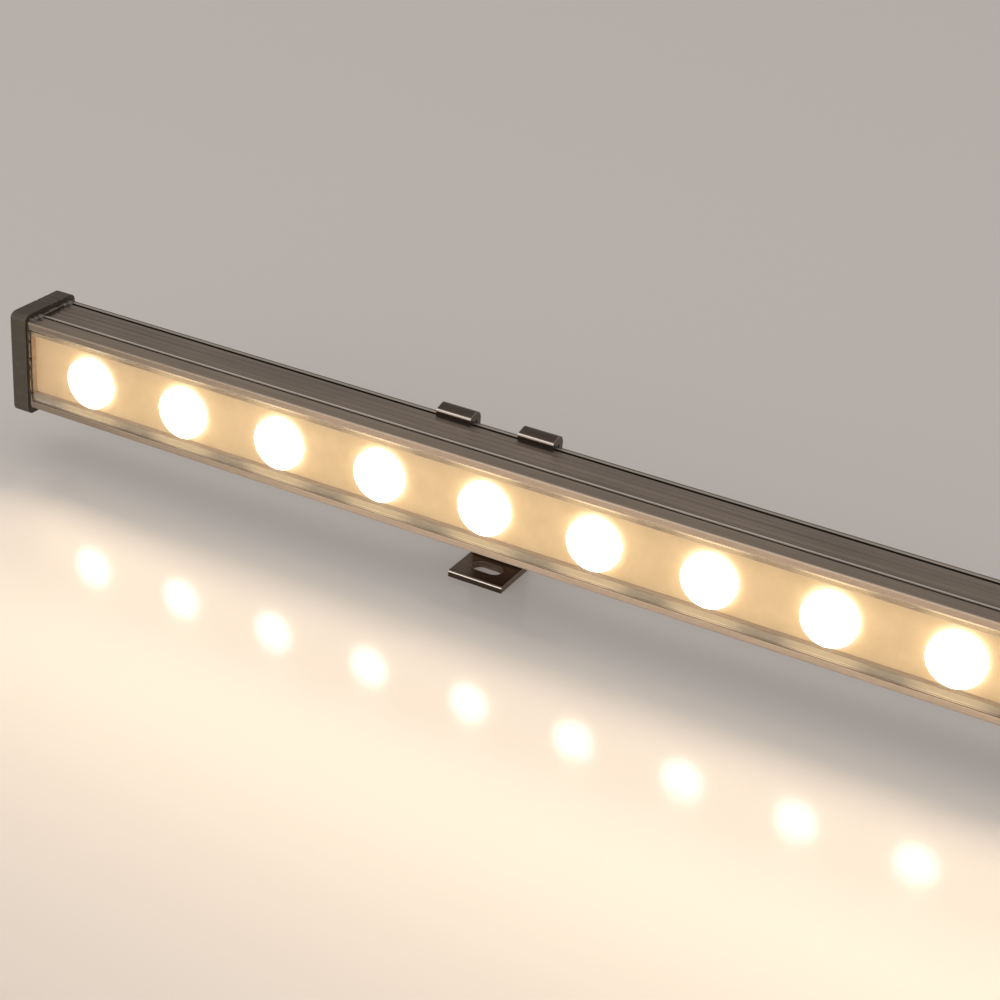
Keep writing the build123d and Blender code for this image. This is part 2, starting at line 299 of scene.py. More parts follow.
def make_bar_zones():
    """Masks on the housing for its lips, highlight lines, ribs, grooves, darker ends and lit ledges."""
    zones = ("Lip", "Under", "Dim", "Front", "Brow", "Valley", "Groove", "Dark Ends", "Ledge")
    tree, graph, given, out = new_group("bar_zones", {"Place": None}, zones)
    low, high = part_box("housing")
    centre = (low.z + high.z) / 2
    groove_front = GROOVE_BACK - GROOVE_WIDTH
    rear_lip = REAR_GROOVE + GROOVE_WIDTH
    x, y, z = graph.split(given["Place"])
    depth = graph.less(y, low.y)
    rise = graph.unsigned(graph.less(z, centre))
    sunk = graph.less((high.z - low.z) / 2, rise)
    to_end = graph.less(high.x, graph.unsigned(x))

    # Lips round the window with the faces just inside them, the lower half, and the dim ends, masks for the
    # painted light on the lips and the painted shade at their ends
    inner = graph.span(sunk, 0.3 * MM, 0.4 * MM)
    inside = graph.times(inner, graph.span(depth, 1.2 * MM, 1.5 * MM, 1.0, 0.0))
    graph.feed(graph.larger(graph.span(depth, 0.25 * MM, 0.5 * MM, 1.0, 0.0), inside), out["Lip"])
    graph.feed(graph.span(z, centre - 1.0 * MM, centre + 1.0 * MM, 1.0, 0.0), out["Under"])
    graph.feed(graph.span(to_end, 0.0, END_FADE, 1.0, 0.0), out["Dim"])

    # Strip before the front groove, lightened as painted light, and the painted highlight lines behind that
    # groove and on the rear lip
    graph.feed(graph.span(depth, groove_front - 0.1 * MM, groove_front, 1.0, 0.0), out["Front"])
    line = graph.between(depth, GROOVE_BACK - 0.02 * MM, GROOVE_BACK + 0.5 * MM, 0.08 * MM)
    shallow = graph.span(sunk, 0.2 * MM, 0.35 * MM, 1.0, 0.0)
    rear = graph.between(depth, rear_lip + 0.05 * MM, rear_lip + 0.75 * MM, 0.05 * MM)
    graph.feed(graph.larger(graph.times(line, shallow), graph.times(rear, 0.6)), out["Brow"])

    # Valleys between the ribs, darkened as painted shade
    ribs = graph.between(depth, GROOVE_BACK + 0.4 * MM, REAR_GROOVE - 0.3 * MM, 0.05 * MM)
    graph.feed(graph.times(ribs, graph.span(sunk, 0.0, 0.06 * MM)), out["Valley"])

    # Both grooves, the shade behind the front one and the rearmost edge, all darkened as painted shade
    front_cut = graph.between(depth, groove_front, GROOVE_BACK + 0.03 * MM, 0.03 * MM)
    front_cut = graph.times(front_cut, graph.span(sunk, 0.2 * MM, 0.35 * MM))
    rear_cut = graph.between(depth, REAR_GROOVE, rear_lip + 0.02 * MM, 0.03 * MM)
    rear_cut = graph.times(rear_cut, graph.span(sunk, 0.02 * MM, 0.06 * MM))
    behind = graph.between(depth, GROOVE_BACK + 0.68 * MM, GROOVE_BACK + 0.9 * MM, 0.12 * MM)
    edge = graph.span(depth, rear_lip + 0.85 * MM, rear_lip + 0.95 * MM)
    shade = graph.times(graph.larger(behind, edge), 0.5)
    graph.feed(graph.larger(graph.larger(front_cut, rear_cut), shade), out["Groove"])

    # Uneven darker band along the ends
    patch = graph.noise(graph.stretch(given["Place"], 0.35, 1.0, 1.0), 800.0, 3.0, 0.6)
    reach = graph.span(patch, 0.3, 0.7, 0.2 * MM, 2.6 * MM)
    near_end = graph.span(graph.less(to_end, reach), -0.5 * MM, 0.3 * MM, 1.0, 0.0)
    graph.feed(graph.times(near_end, graph.span(depth, 1.6 * MM, 2.6 * MM)), out["Dark Ends"])

    # Ledges that carry the cover, the upper one lit more
    beside = graph.span(rise, WINDOW_HALF + 0.02 * MM, WINDOW_HALF + 0.6 * MM, 1.0, 0.0)
    lit = graph.times(beside, graph.span(z, centre, centre + 1.0 * MM, 0.3, 1.0))
    ahead = graph.span(depth, LEDGE_BACK, LEDGE_BACK + 0.1 * MM, 1.0, 0.0)
    graph.feed(graph.times(lit, ahead), out["Ledge"])
    return tree


DRAWN_GRAIN = make_drawn_grain()
RUBBED_AND_HIGHLIT_EDGES = make_rubbed_and_highlit_edges()
MOULD_GRAIN = make_mould_grain()
LENS_RING = make_lens_ring()
BAR_ZONES = make_bar_zones()

# Tones that more than one finish uses
UNLIT = (0.0, 0.0, 0.0)
# Dark tone: painted shade in the grooves, rib valleys, dim ends of the lips and under the bracket edges, and
# the darker band along the housing's ends
DARK_TONE = (0.022, 0.017, 0.013)
# Lip tones, lightened and warmed as painted light from the lamp's spill and the lit table
LIT_LIP_TONE = (0.455, 0.365, 0.283)
LIT_LOWER_LIP_TONE = (0.53, 0.425, 0.328)
# Pale tones for painted highlight lines; the bracket one also tints the feet's rubbed and highlit edges
BAR_HIGHLIGHT_LINE = (0.82, 0.72, 0.63)
BRACKET_HIGHLIGHT = (0.88, 0.80, 0.73)


def new_finish(name, **sockets):
    """Material with its constant shader values set, its graph and its shader."""
    material = bpy.data.materials.new(name)
    material.use_nodes = True
    shader = material.node_tree.nodes["Principled BSDF"]
    for key, value in sockets.items():
        shader.inputs[key.replace("_", " ").title().replace("Ior", "IOR")].default_value = value
    return material, Graph(material.node_tree), shader.inputs


def paint_bar(graph, shader, place, colour, rubbed_and_highlit):
    """Housing: painted shade in the grooves and rib valleys, a darker band along the ends, painted highlight
    lines, lips and the strip before the front groove lightened as painted light, the lips dimmed at the ends
    as painted shade, and a painted glow on the ledges that the lamp lights.
    """
    zones = graph.group(BAR_ZONES, place=place)
    # Painted light: the strip before the front groove is lightened towards the lip tone
    colour = graph.mix(graph.times(zones["Front"], 0.30), colour, LIT_LIP_TONE)
    # Painted shade in the rib valleys and grooves, and the darker band along the ends
    for zone, share in (("Valley", 0.22), ("Groove", 0.8), ("Dark Ends", 0.8)):
        colour = graph.mix(graph.times(zones[zone], share), colour, DARK_TONE)
    # Painted highlight lines behind the front groove and on the rear lip
    colour = graph.mix(zones["Brow"], colour, BAR_HIGHLIGHT_LINE)
    # Painted light on the lips, the lower one lighter, with painted shade dimming them towards the ends
    lips = graph.mix(zones["Under"], LIT_LIP_TONE, LIT_LOWER_LIP_TONE)
    lips = graph.mix(graph.times(zones["Dim"], 0.45), lips, DARK_TONE)
    colour = graph.mix(zones["Lip"], colour, lips)
    shader["Emission Strength"].default_value = 0.35
    graph.feed(graph.mix(zones["Ledge"], UNLIT, (1.0, 0.70, 0.40)), shader["Emission Color"])
    # Rubbed and highlit edges kept only on the lips, as a painted highlight along them
    return colour, graph.times(rubbed_and_highlit, zones["Lip"])


def paint_brow(graph, place, colour, rubbed_and_highlit, front, brow, line, share):
    """Bracket edge at y front and z brow: painted shade on the face below it, a painted highlight line of a
    given width along it.
    """
    _, y, z = graph.split(place)
    below = graph.span(z, brow - line, brow - 0.8 * line, 1.0, 0.0)
    face = graph.times(below, graph.span(y, front + 0.05 * MM, front + 0.2 * MM, 1.0, 0.0))
    near = graph.between(y, front - line, front + line, 0.2 * line)
    bright = graph.times(near, graph.between(z, brow - 0.9 * line, brow + 0.5 * line, 0.2 * line))
    # Painted shade on the face below the edge, and a painted highlight line along it
    colour = graph.mix(graph.times(face, 0.75), colour, DARK_TONE)
    kept = graph.times(rubbed_and_highlit, graph.span(face, 0.0, 1.0, 0.6, 0.0))
    return graph.mix(graph.times(bright, share), colour, BRACKET_HIGHLIGHT), kept


def paint_hooks(graph, _shader, place, colour, rubbed_and_highlit):
    """Clip: painted highlight along the brow of its hooks, with painted shade on the face below."""
    low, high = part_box("left_clip")
    return paint_brow(graph, place, colour, rubbed_and_highlit, low.y, high.z - HOOK_FALL, 0.3 * MM, 1.0)


def paint_toe(graph, _shader, place, colour, rubbed_and_highlit):
    """Foot: painted highlight along the rounded edge at the front of its toe, with painted shade on the face
    below.
    """
    low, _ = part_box("left_foot")
    return paint_brow(graph, place, colour, rubbed_and_highlit, low.y, low.z + FOOT_PLATE, 0.42 * MM, 0.6)


def anodised(name, dark, light, edge, rough, lines, paint):
    """Anodised aluminium: die lines, smudges, edges paler from rubbing and as a painted highlight, and what a
    paint function adds for one piece.
    """
    material, graph, shader = new_finish(name, Metallic=0.9, Anisotropic=0.25)
    place = graph.place()
    grain = graph.group(DRAWN_GRAIN, place=place, lines=lines)
    rub_and_highlight = graph.group(RUBBED_AND_HIGHLIT_EDGES, place=place, radius=0.35 * MM)["Edge"]
    tone = graph.plus(graph.times(grain["Grain"], 0.65), graph.times(grain["Smudge"], 0.35))
    colour, rubbed_and_highlit = paint(graph, shader, place, graph.mix(tone, dark, light), graph.times(rub_and_highlight, 0.75))
    graph.feed(graph.mix(rubbed_and_highlit, colour, edge), shader["Base Color"])
    dull = graph.span(grain["Smudge"], 0.0, 1.0, rough - 0.05, rough + 0.07)
    rubbed = graph.times(graph.less(0.5, dull), rub_and_highlight)
    graph.feed(graph.plus(dull, rubbed), shader["Roughness"])
    graph.feed(graph.bump(grain["Grain"], 0.35, 0.03 * MM), shader["Normal"])
    return material


def moulded(name, dark, light, rough, size=2600.0):
    """Moulded plastic with a matt grain, and edges paler from rubbing and as a painted highlight."""
    material, graph, shader = new_finish(name, Specular_Ior_Level=0.45)
    place = graph.place()
    grain = graph.group(MOULD_GRAIN, place=place, size=size)
    rub_and_highlight = graph.group(RUBBED_AND_HIGHLIT_EDGES, place=place, radius=0.4 * MM)["Edge"]
    pale = graph.plus(graph.times(rub_and_highlight, 0.55), graph.times(grain["Scuff"], 0.35), clamp=True)
    graph.feed(graph.mix(pale, dark, light), shader["Base Color"])
    graph.feed(graph.span(grain["Scuff"], 0.0, 1.0, rough, rough + 0.12), shader["Roughness"])
    graph.feed(graph.bump(grain["Height"], 0.25, 0.05 * MM), shader["Normal"])
    return material


def clear_front():
    """Polished clear strip with faint wipe marks, whose long bevels glow beside the lenses."""
    material, graph, shader = new_finish("clear_front", Transmission_Weight=1.0, IOR=1.49,
                                         Base_Color=(0.99, 0.985, 0.97, 1), Emission_Strength=0.6)
    place = graph.place()
    low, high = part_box("front_cover")
    x, y, z = graph.split(place)
    eased = COVER_BEVEL + BEVEL_EASE
    upper = graph.span(z, high.z - eased, high.z - COVER_BEVEL)
    lower = graph.span(z, low.z + COVER_BEVEL, low.z + eased, 0.3, 0.0)
    behind = graph.span(y, low.y + 0.02 * MM, low.y + 0.10 * MM)
    bevel = graph.times(graph.larger(upper, lower), behind)
    wipe = graph.noise(graph.stretch(place, 0.25, 1.0, 1.0), 260.0, 5.0, 0.6)
    polish = graph.span(wipe, 0.45, 0.75, 0.015, 0.07)
    graph.feed(graph.larger(polish, graph.times(bevel, 0.3)), shader["Roughness"])
    near = graph.span(graph.group(LENS_RING, place=place)["Distance"], *COVER_GLOW, 1.0, 0.17)
    fade = graph.span(graph.unsigned(x), high.x - END_FADE, high.x, 1.0, 0.4)
    glow = graph.times(bevel, graph.times(near, fade))
    graph.feed(graph.mix(glow, UNLIT, (1.0, 0.76, 0.46)), shader["Emission Color"])
    # Shadow rays pass, so that light gets in and out
    shadow = graph.rays()["Is Shadow Ray"]
    graph.feed(graph.less(1.0, graph.times(shadow, 0.92)), shader["Alpha"])
    return material


def lit_lens():
    """Lens face, white with light and warmer towards its rim. Mirrored, only its middle is bright."""
    material, graph, shader = new_finish("lit_lens", Base_Color=(0.9, 0.85, 0.75, 1), Roughness=0.15,
                                         Emission_Strength=7.0)
    reach = graph.group(LENS_RING, place=graph.place())["Distance"]
    rim = graph.span(reach, *LENS_RIM, smooth=True)
    colour = graph.mix(rim, (1.0, 0.94, 0.82), (0.70, 0.58, 0.40))
    mirrored = graph.span(graph.rays()["Glossy Depth"], 0.0, 1.0)
    outer = graph.times(mirrored, graph.span(reach, *LENS_CORE, smooth=True))
    graph.feed(graph.mix(outer, colour, (0.10, 0.07, 0.035)), shader["Emission Color"])
    return material


def pale_tray():
    """Pale tray with the spill of the lenses painted on: its base colour tinted warm, and a painted glow
    brightest round each lens.
    """
    material, graph, shader = new_finish("pale_tray", Emission_Strength=0.42)
    place = graph.place()
    ring = graph.group(LENS_RING, place=place)
    mottle = graph.noise(place, 170.0, 4.0, 0.6)
    # Base colour: mottled, and tinted warm as painted light from the lenses, warmer past the last lens
    tint = graph.mix(graph.span(mottle, 0.3, 0.7), (0.33, 0.245, 0.132), (0.41, 0.31, 0.175))
    tint = graph.mix(graph.times(ring["End"], 0.5), tint, (0.42, 0.29, 0.16))
    graph.feed(tint, shader["Base Color"])
    # Painted glow: brightest round each lens, dimmer towards the upper and lower edges and past the last lens
    off_axis = graph.unsigned(graph.less(graph.split(place)["Z"], FIRST_LENS.z))
    edge = graph.span(off_axis, 3.0 * MM, WINDOW_HALF, 0.0, 0.5, smooth=True)
    spill = graph.mix(edge, (0.81, 0.49, 0.197), (0.44, 0.245, 0.10))
    glow = graph.span(ring["Distance"], *TRAY_GLOW, 1.0, 0.0, smooth=True)
    spill = graph.mix(glow, spill, (1.0, 0.86, 0.60))
    spill = graph.mix(graph.times(ring["End"], 0.75), spill, (0.52, 0.285, 0.12))
    graph.feed(spill, shader["Emission Color"])
    graph.feed(graph.span(mottle, 0.3, 0.7, 0.45, 0.6), shader["Roughness"])
    graph.feed(graph.bump(mottle, 0.2, 0.1 * MM), shader["Normal"])
    return material


def silicone(name, tint, clear, glow=0.0, bubble=0.25, rough=0.2):
    """Silicone with small bubbles and a soft gloss. Glow is the light that leaks through it beside a lens."""
    material, graph, shader = new_finish(name, Transmission_Weight=clear, IOR=1.41, Emission_Strength=glow)
    place = graph.place()
    if glow:
        reach = graph.group(LENS_RING, place=place)["Distance"]
        near = graph.span(reach, *SEAL_GLOW, 1.0, 0.12, smooth=True)
        graph.feed(graph.mix(near, UNLIT, (1.0, 0.72, 0.34)), shader["Emission Color"])
    cloud = graph.noise(place, 700.0, 4.0, 0.6)
    deeper = tuple(0.82 * part for part in tint)
    graph.feed(graph.mix(graph.span(cloud, 0.35, 0.7), tint, deeper), shader["Base Color"])
    graph.feed(graph.span(cloud, 0.3, 0.7, rough - 0.07, rough + 0.07), shader["Roughness"])
    graph.feed(graph.bump(graph.cells(place, 1500.0), bubble, 0.1 * MM), shader["Normal"])
    return material


def cap_sealant():
    """Clear sealant round a cap, darker along the front."""
    material = silicone("clear_sealant", (0.42, 0.39, 0.35), 0.7, bubble=0.1, rough=0.12)
    graph = Graph(material.node_tree)
    colour = material.node_tree.nodes["Principled BSDF"].inputs["Base Color"]
    low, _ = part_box("left_cap_sealant")
    darker_front = graph.span(graph.split(graph.place())["Y"], low.y + 0.9 * MM, low.y + 1.6 * MM, 0.85, 0.0)
    graph.feed(graph.mix(darker_front, colour.links[0].from_socket, (0.06, 0.038, 0.020)), colour)
    return material


def plated_steel():
    """Plated screw steel: turned lines, darker pits, bright edges."""
    material, graph, shader = new_finish("plated_steel", Metallic=1.0)
    place = graph.place()
    turned = graph.noise(graph.stretch(place, 1.0, 0.15, 0.15), 5200.0, 2.0, 0.5)
    pits = graph.noise(place, 1600.0, 4.0, 0.6)
    rub_and_highlight = graph.group(RUBBED_AND_HIGHLIT_EDGES, place=place, radius=0.15 * MM)["Edge"]
    tone = graph.mix(graph.span(pits, 0.35, 0.7), (0.44, 0.43, 0.41), (0.60, 0.59, 0.57))
    graph.feed(graph.mix(graph.times(rub_and_highlight, 0.6), tone, (0.78, 0.77, 0.75)), shader["Base Color"])
    graph.feed(graph.span(pits, 0.3, 0.7, 0.22, 0.40), shader["Roughness"])
    graph.feed(graph.bump(turned, 0.3, 0.02 * MM), shader["Normal"])
    return material


def mottled(name, first, second, scale, rough):
    """Plain inner material with two tones and a light bump."""
    material, graph, shader = new_finish(name)
    cloud = graph.noise(graph.place(), scale, 4.0, 0.55)
    graph.feed(graph.mix(graph.span(cloud, 0.35, 0.65), first, second), shader["Base Color"])
    graph.feed(graph.span(cloud, 0.3, 0.7, rough - 0.08, rough + 0.08), shader["Roughness"])
    graph.feed(graph.bump(cloud, 0.15, 0.05 * MM), shader["Normal"])
    return material


# Finishes by the slots of the part, and those that a few nodes or new pieces have to themselves
FINISHES = {
    "anodised_body": anodised("anodised_body", (0.258, 0.206, 0.166), (0.385, 0.31, 0.257),
                              (0.78, 0.68, 0.59), 0.44, 1400.0, paint_bar),
    "anodised_bracket": anodised("anodised_bracket", (0.082, 0.062, 0.048), (0.13, 0.10, 0.079),
                                 (0.85, 0.76, 0.68), 0.22, 1100.0, paint_hooks),
    "cap_plastic": moulded("cap_plastic", (0.058, 0.045, 0.031), (0.137, 0.113, 0.088), 0.50),
    "clear_cover": clear_front(),
    "lens": lit_lens(),
    "pale_tray": pale_tray(),
    "silicone": silicone("seal_silicone", (0.33, 0.226, 0.122), 0.1, 0.30, bubble=0.04, rough=0.45),
    "grey_pad": mottled("grey_pad", (0.26, 0.27, 0.28), (0.33, 0.34, 0.35), 900.0, 0.75),
    "board": mottled("board", (0.80, 0.80, 0.77), (0.86, 0.86, 0.84), 500.0, 0.4),
    "emitter": mottled("emitter", (0.85, 0.66, 0.12), (0.90, 0.74, 0.22), 1500.0, 0.3),
    "black_chip": mottled("black_chip", (0.012, 0.012, 0.013), (0.03, 0.03, 0.03), 2200.0, 0.5),
    "pale_terminal": mottled("pale_terminal", (0.70, 0.70, 0.66), (0.78, 0.78, 0.74), 1200.0, 0.45),
    "steel": plated_steel(),
    "black_plastic": moulded("black_plastic", (0.014, 0.014, 0.015), (0.06, 0.06, 0.06), 0.42, 3000.0),
    "black_rubber": moulded("black_rubber", (0.010, 0.010, 0.010), (0.04, 0.04, 0.04), 0.68, 2200.0),
}
CLEAR_SEALANT = cap_sealant()
# The lower seal: the same silicone as the upper one, with a greyer tint and less painted glow
LOWER_SEAL = silicone("lower_seal_silicone", (0.30, 0.232, 0.154), 0.1, 0.27, bubble=0.04, rough=0.45)
# The feet: a lighter, warmer copy of the bracket finish, lightened as painted light for the lamp's warm spill
# on them
LIT_FOOT_COPY = anodised("anodised_foot_lit", (0.165, 0.115, 0.083), (0.25, 0.18, 0.132), BRACKET_HIGHLIGHT, 0.24, 1100.0,
                paint_toe)
GASKET = silicone("gasket_silicone", (0.52, 0.36, 0.18), 0.1)
OWN_FINISHES = {"left_cap_gasket": GASKET, "right_cap_gasket": GASKET, "left_foot": LIT_FOOT_COPY, "right_foot": LIT_FOOT_COPY}


def dress(piece, material):
    """Give a piece one material."""
    piece.data.materials.clear()
    piece.data.materials.append(material)


for row in frame["record"]["subparts"]:
    dress(nodes[row["node"]], OWN_FINISHES.get(row["node"], FINISHES[row["material_slot"]]))


def new_object(name, bm):
    """Object from a finished mesh."""
    mesh = bpy.data.meshes.new(name)
    bm.to_mesh(mesh)
    bm.free()
    made = bpy.data.objects.new(name, mesh)
    bpy.context.collection.objects.link(made)
    return made


def new_piece(name, bm, finish, body, *replaced):
    """Piece of the part from a finished mesh, riding on a body in place of the nodes that it stands for."""
    bmesh.ops.recalc_face_normals(bm, faces=bm.faces)
    piece = new_object(name, bm)
    dress(piece, finish)
    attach(piece, body)
    if replaced:
        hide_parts(*replaced)
    return piece


def settle_modifiers(piece):
    """Turn a piece's modifiers into its mesh."""
    bpy.context.view_layer.update()
    seen = piece.evaluated_get(bpy.context.evaluated_depsgraph_get())
    mesh = bpy.data.meshes.new_from_object(seen)
    piece.modifiers.clear()
    piece.data = mesh


def shade_smooth(piece, angle):
    """Smooth shading with edges kept sharp above an angle in degrees."""
    piece.data.shade_smooth()
    piece.data.set_sharp_from_angle(angle=math.radians(angle))


def round_edges(bm, edges, offset, segments):
    """Rounding bevel along some edges."""
    bmesh.ops.bevel(bm, geom=edges, offset=offset, segments=segments, profile=0.5, affect="EDGES",
                    material=-1)


def lengthwise(bm):
    """Edges that run along the bar."""
    return [edge for edge in bm.edges if abs(edge.verts[0].co.x - edge.verts[1].co.x) > 100 * MM]


def make_cover_seal(name, finish):
    """Hand-laid strip of silicone between the cover and its ledge, with a wavering edge."""
    low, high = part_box(name)
    size = high - low
    bm = bmesh.new()
    bmesh.ops.create_cube(bm, size=1.0)
    bmesh.ops.scale(bm, vec=(size.x, size.y - 0.1 * MM, size.z), verts=bm.verts)
    bmesh.ops.translate(bm, vec=(low + high) / 2, verts=bm.verts)
    round_edges(bm, lengthwise(bm), SEAL_ROUND, 2)
    bmesh.ops.subdivide_edges(bm, edges=lengthwise(bm), cuts=240, use_grid_fill=True)
    for vert in bm.verts:
        vert.co.z += SEAL_WAVER * noise.noise((vert.co.x * 25, vert.co.z * 400, 3.0))
    piece = new_piece(f"{name}_strip", bm, finish, "bar", name)
    shade_smooth(piece, 50)


def bead_mesh(name, corners, sign, chance):
    """Uneven closed bead along the lines between some corners, squeezed a little inwards."""
    spots = []
    for start, end in zip(corners, corners[1:] + corners[:1]):
        steps = max(3, round((end - start).length / BEAD_STEP))
        spots += [start.lerp(end, step / steps) for step in range(steps)]
    line = bpy.data.curves.new(name, "CURVE")
    line.dimensions = "3D"
    line.bevel_depth = BEAD_RADIUS
    line.bevel_resolution = 4
    spline = line.splines.new("POLY")
    spline.points.add(len(spots) - 1)
    spline.use_cyclic_u = True
    for point, spot in zip(spline.points, spots):
        inward = chance.uniform(0.05, 0.40) * MM
        point.co = (spot.x - sign * inward, spot.y, spot.z, 1)
        point.radius = chance.uniform(0.55, 1.15)
    holder = bpy.data.objects.new(f"{name}_line", line)
    mesh = bpy.data.meshes.new_from_object(holder)
    bpy.data.objects.remove(holder)
    return mesh


def make_cap_sealant(side, sign, seed):
    """Clear bead squeezed out where a cap meets the housing, uneven and with a few blobs."""
    name = f"{side}_cap_sealant"
    low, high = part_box(name)
    face = low.x if sign < 0 else high.x
    front, back = low.y + BEAD_INSET, high.y - BEAD_INSET
    under, top = low.z + BEAD_INSET, high.z - BEAD_INSET
    corners = [Vector((face, y, z)) for y, z in ((front, top), (back, top), (back, under), (front, under))]
    bm = bmesh.new()
    bm.from_mesh(bead_mesh(name, corners, sign, random.Random(seed)))
    # Blobs as y, z and radius: along the top from front to back, then down the front
    blobs = (
        (front + 1.2 * MM, top - 0.1 * MM, 0.95 * MM),
        (front + 2.8 * MM, top + 0.05 * MM, 0.7 * MM),
        (front + 4.6 * MM, top - 0.1 * MM, 0.85 * MM),
        (back - 1.6 * MM, top - 0.15 * MM, 0.85 * MM),
        (back - 3.4 * MM, top, 0.6 * MM),
        (front, top - 5 * MM, 0.42 * MM),
        (front, top - 9.5 * MM, 0.5 * MM),
        (front, under + 4 * MM, 0.45 * MM),
    )
    for y, z, radius in blobs:
        spot = Matrix.Translation((face - sign * 0.5 * MM, y, z)) @ Matrix.Diagonal((1.25, 1.0, 0.8, 1))
        bmesh.ops.create_icosphere(bm, subdivisions=3, radius=radius, matrix=spot)
    piece = new_piece(f"{name}_bead", bm, CLEAR_SEALANT, "bar", name)
    joined = piece.modifiers.new("joined", "REMESH")
    joined.mode = "VOXEL"
    joined.voxel_size = 0.12 * MM
    eased = piece.modifiers.new("eased", "SMOOTH")
    eased.factor = 0.5
    eased.iterations = 6
    settle_modifiers(piece)
    piece.data.shade_smooth()


def spun_about_x(bm, outline, y, z, steps):
    """Turn an open outline of (along x, radius) points about an X axis."""
    centre = Vector((0, y, z))
    verts = [bm.verts.new(centre + Vector((along, 0, radius))) for along, radius in outline]
    edges = [bm.edges.new(pair) for pair in zip(verts, verts[1:])]
    bmesh.ops.spin(bm, geom=verts + edges, cent=centre, axis=(1, 0, 0), angle=math.tau, steps=steps,
                   use_merge=True)


def turn_about_x(vert, y, z):
    """Angle of a vertex about an X axis."""
    return math.atan2(vert.co.z - z, vert.co.y - y)


def add_socket_head(bm, start, y, z, radius):
    """Knurled screw head along X with a rounded outer edge and a six-sided socket."""
    spot = Matrix.Translation((start + HEAD_LENGTH / 2, y, z)) @ Matrix.Rotation(math.radians(90), 4, "Y")
    bmesh.ops.create_cone(bm, cap_ends=True, segments=KNURL_POINTS, radius1=radius, radius2=radius,
                          depth=HEAD_LENGTH, matrix=spot)
    outer = min(bm.faces, key=lambda face: face.calc_center_median().x)
    round_edges(bm, list(outer.edges), 0.3 * MM, 3)
    for vert in bm.verts:
        if round(turn_about_x(vert, y, z) / math.tau * KNURL_POINTS) % 2:
            vert.co.y = y + (vert.co.y - y) * KNURL_FLOOR
            vert.co.z = z + (vert.co.z - z) * KNURL_FLOOR
    outer = min(bm.faces, key=lambda face: (round(face.calc_center_median().x, 6), -len(face.verts)))
    bmesh.ops.inset_region(bm, faces=[outer], thickness=0.7 * MM, use_even_offset=False)
    for vert in outer.verts:
        turn = turn_about_x(vert, y, z)
        reach = SOCKET_HALF / math.cos((turn + math.pi / 6) % (math.pi / 3) - math.pi / 6)
        vert.co.y = y + reach * math.cos(turn)
        vert.co.z = z + reach * math.sin(turn)
    sunk = bmesh.ops.extrude_face_region(bm, geom=[outer])["geom"]
    bottom = [item for item in sunk if isinstance(item, bmesh.types.BMVert)]
    bmesh.ops.translate(bm, vec=(SOCKET_DEPTH, 0, 0), verts=bottom)
    bmesh.ops.delete(bm, geom=[outer], context="FACES_ONLY")


def make_hinge_screw(side):
    """Socket screw: knurled head with a six-sided socket, plain shank, thread at the far end."""
    name = f"{side}_hinge_screw"
    low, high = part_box(name)
    _, y, z = (low + high) / 2
    bm = bmesh.new()
    add_socket_head(bm, low.x, y, z, (high.z - low.z) / 2)
    thread = high.x - THREAD_LENGTH
    outline = [(low.x + HEAD_LENGTH, SHANK_RADIUS), (thread, SHANK_RADIUS)]
    for turn in range(THREAD_TURNS):
        outline.append((thread + (turn + 0.5) * THREAD_PITCH, SHANK_RADIUS * THREAD_CORE))
        outline.append((thread + (turn + 1) * THREAD_PITCH, SHANK_RADIUS))
    outline += [(high.x, SHANK_RADIUS * 0.8), (high.x, 0.0)]
    spun_about_x(bm, outline, y, z, 32)
    bmesh.ops.remove_doubles(bm, verts=bm.verts, dist=0.001 * MM)
    piece = new_piece(f"{name}_socket_head", bm, FINISHES["steel"], f"{side}_clip", name)
    shade_smooth(piece, 30)


def pan_outline(face, sign):
    """Pan head as (along x, radius) points, from its seat over its dome to its middle."""
    outline = [(face, PAN_RADIUS * PAN_SEAT), (face + sign * PAN_RIM, PAN_RADIUS)]
    for step in range(1, 6):
        turn = step * math.pi / 12
        rise = PAN_RIM + (PAN_HEIGHT - PAN_RIM) * math.sin(turn)
        outline.append((face + sign * rise, PAN_RADIUS * math.cos(turn)))
    top = face + sign * PAN_HEIGHT
    return outline + [(top, PAN_RADIUS * 0.12), (top, 0.0)]


def make_cap_screws(side, sign):
    """Two pan-head screws with a cross recess, standing on a cap."""
    name = f"{side}_cap_screws"
    low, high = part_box(name)
    face = (low.x if sign < 0 else high.x) - sign * PAN_HEIGHT
    tip = face - sign * CAP_SCREW_LENGTH
    shank = [(face, PAN_RADIUS * PAN_SEAT), (face, CAP_SCREW_SHANK), (tip, CAP_SCREW_SHANK), (tip, 0.0)]
    y = (low.y + high.y) / 2
    bm = bmesh.new()
    recess = bmesh.new()
    for z in (low.z + PAN_RADIUS, high.z - PAN_RADIUS):
        spun_about_x(bm, pan_outline(face, sign), y, z, 40)
        spun_about_x(bm, shank, y, z, 24)
        spot = Matrix.Translation((face + sign * RECESS_HEIGHT, y, z))
        for turn in (45, 135):
            turned = spot @ Matrix.Rotation(math.radians(turn), 4, "X")
            bmesh.ops.create_cube(recess, size=1.0, matrix=turned @ Matrix.Diagonal(RECESS_SIZE))
    bmesh.ops.remove_doubles(bm, verts=bm.verts, dist=0.001 * MM)
    piece = new_piece(f"{name}_pan_heads", bm, FINISHES["steel"], "bar", name)
    cutter = new_piece(f"{name}_recess", recess, FINISHES["steel"], "bar")
    cut = piece.modifiers.new("recess", "BOOLEAN")
    cut.operation = "DIFFERENCE"
    cut.solver = "EXACT"
    cut.use_self = True
    cut.object = cutter
    settle_modifiers(piece)
    bpy.data.objects.remove(cutter)
    shade_smooth(piece, 35)


